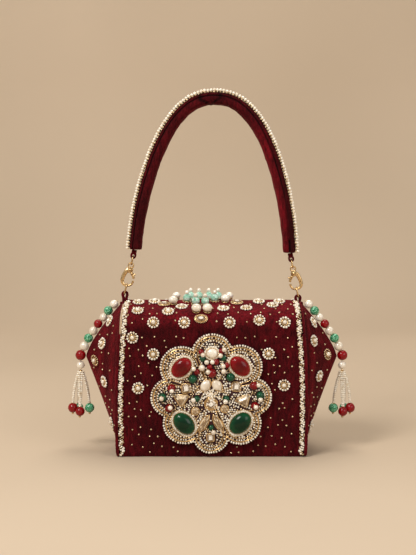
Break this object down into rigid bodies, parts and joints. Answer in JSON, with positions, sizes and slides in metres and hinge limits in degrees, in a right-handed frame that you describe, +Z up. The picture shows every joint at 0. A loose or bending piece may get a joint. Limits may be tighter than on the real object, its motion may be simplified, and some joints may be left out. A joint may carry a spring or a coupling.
{
  "type": "embellished clutch",
  "caption": "Velvet box bag with pushed-out ends, opening roof flaps, an arched strap on lobster clasps, bead strings, tassels and a scalloped stone medallion.",
  "frame": {"origin": "the middle of the base, on the surface that the bag stands on", "axes": "+Z up, the medallion on the front faces -Y, +X to the right as seen from the front"},
  "size_m": [0.3004, 0.0983, 0.3732],
  "materials": {
    "velvet": "deep red velvet with a short pile",
    "piping": "rolled dark red velvet cord",
    "lining": "red satin",
    "board": "grey millboard",
    "beadwork": "sewn white and gold seed beads",
    "pearl": "lustrous imitation pearl",
    "string_beads": "pearl, red and green glass beads",
    "ruby_glass": "polished deep red glass",
    "emerald_glass": "polished deep green glass",
    "mint_glass": "faceted translucent mint glass",
    "crystal": "clear cut crystal in a gold frame",
    "champagne_crystal": "cut champagne crystal in a gold frame",
    "gold": "polished light gold plating",
    "steel": "plain plated magnet"
  },
  "bodies": {
    "root": {"velvet_cover": "velvet", "lining": "lining", "base_board": "board", "gusset_left": "velvet", "gusset_right": "velvet", "piping_left": "piping", "piping_right": "piping", "trim_front_left": "beadwork", "trim_front_right": "beadwork", "trim_rear_left": "beadwork", "trim_rear_right": "beadwork", "loop_left": "piping", "loop_right": "piping", "bead_string_left": "string_beads", "bead_string_right": "string_beads", "medallion_patch": "beadwork", "red_cabochon_left": "ruby_glass", "red_cabochon_right": "ruby_glass", "green_cabochon_left": "emerald_glass", "green_cabochon_right": "emerald_glass", "white_oval_stone": "pearl", "centre_crystal": "crystal", "marquise_crystal_left": "champagne_crystal", "marquise_crystal_right": "champagne_crystal"},
    "front_roof": {"front_flap": "velvet", "front_magnet": "steel", "mint_bead_front_1": "mint_glass", "mint_bead_front_2": "mint_glass", "mint_bead_front_3": "mint_glass", "mint_bead_front_4": "mint_glass", "end_pearl_front_left": "pearl", "end_pearl_front_right": "pearl", "large_pearl_left": "pearl", "large_pearl_right": "pearl", "top_crystal": "crystal"},
    "rear_roof": {"rear_flap": "velvet", "rear_magnet": "steel", "mint_bead_rear_1": "mint_glass", "mint_bead_rear_2": "mint_glass", "mint_bead_rear_3": "mint_glass", "mint_bead_rear_4": "mint_glass", "end_pearl_rear_left": "pearl", "end_pearl_rear_right": "pearl"},
    "handle": {"strap": "velvet", "strap_pearls": "pearl", "strap_tab_left": "piping", "strap_tab_right": "piping", "upper_ring_left": "gold", "upper_ring_right": "gold", "lower_ring_left": "gold", "lower_ring_right": "gold", "clasp_left": "gold", "clasp_right": "gold"},
    "lever_left": {"clasp_lever_left": "gold"},
    "lever_right": {"clasp_lever_right": "gold"},
    "hook_pearl_left": {"tassel_pearl_left": "pearl"},
    "hook_pearl_right": {"tassel_pearl_right": "pearl"},
    "tassel_left": {"tassel_strands_left": "string_beads"},
    "tassel_right": {"tassel_strands_right": "string_beads"}
  },
  "joints": [
    {"name": "front_flap_hinge", "type": "hinge", "parent": "root", "child": "front_roof", "pos_m": [0, -0.042, 0.1303], "axis": [1, 0, 0], "range_deg": [0, 90]},
    {"name": "rear_flap_hinge", "type": "hinge", "parent": "root", "child": "rear_roof", "pos_m": [0, 0.042, 0.1303], "axis": [1, 0, 0], "range_deg": [-90, 0]},
    {"name": "handle_swing", "type": "hinge", "parent": "root", "child": "handle", "pos_m": [0, 0, 0.16251], "axis": [-0.9998, 0, 0.0209], "range_deg": [-90, 90]},
    {"name": "clasp_lever_left_hinge", "type": "hinge", "parent": "handle", "child": "lever_left", "pos_m": [-0.08256, 0, 0.18364], "axis": [0, 1, 0], "range_deg": [0, 22], "stiffness_Nm_per_rad": 0.002, "springref_deg": -17.19},
    {"name": "clasp_lever_right_hinge", "type": "hinge", "parent": "handle", "child": "lever_right", "pos_m": [0.08337, 0, 0.18017], "axis": [0, -1, 0], "range_deg": [0, 22], "stiffness_Nm_per_rad": 0.002, "springref_deg": -17.19},
    {"name": "tassel_left_sway", "type": "hinge", "parent": "root", "child": "hook_pearl_left", "pos_m": [-0.1367, 0, 0.09239], "axis": [1, 0, 0], "range_deg": [-40, 40]},
    {"name": "tassel_left_swing", "type": "hinge", "parent": "hook_pearl_left", "child": "tassel_left", "pos_m": [-0.1367, 0, 0.08309], "axis": [0, 1, 0], "range_deg": [-8, 40]},
    {"name": "tassel_right_sway", "type": "hinge", "parent": "root", "child": "hook_pearl_right", "pos_m": [0.1367, 0, 0.09239], "axis": [1, 0, 0], "range_deg": [-40, 40]},
    {"name": "tassel_right_swing", "type": "hinge", "parent": "hook_pearl_right", "child": "tassel_right", "pos_m": [0.1367, 0, 0.08309], "axis": [0, -1, 0], "range_deg": [-8, 40]}
  ]
}
